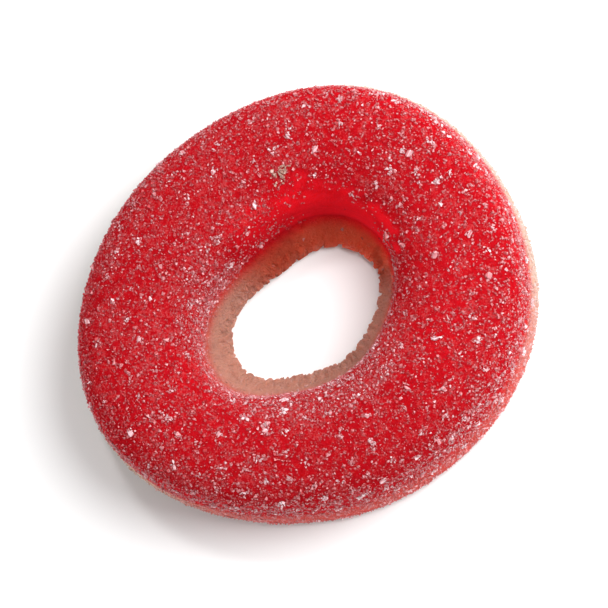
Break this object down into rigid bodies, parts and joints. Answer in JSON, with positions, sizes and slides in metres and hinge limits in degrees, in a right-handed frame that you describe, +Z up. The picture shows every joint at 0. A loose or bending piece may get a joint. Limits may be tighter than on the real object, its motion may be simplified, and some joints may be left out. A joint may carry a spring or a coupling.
{
  "type": "gummy ring",
  "caption": "Thick soft ring of red jelly on a pale foam base, with an uneven outline, a domed top, an oval hole through the middle and sugar crystals all over.",
  "frame": {"origin": "middle of the flat foam face that the ring lies on", "axes": "+Z up through the hole, from the foam face to the domed jelly face; the long way of the oval hole points about 38 degrees from +X towards +Y"},
  "size_m": [0.0367, 0.035, 0.0103],
  "materials": {
    "red_jelly": "translucent soft red jelly under a coat of sugar",
    "pale_foam": "soft matt cream foam under a coat of sugar",
    "sugar": "clear to white sugar crystals with bright facets"
  },
  "bodies": {
    "root": {"red_jelly": "red_jelly", "pale_foam": "pale_foam"}
  },
  "joints": []
}
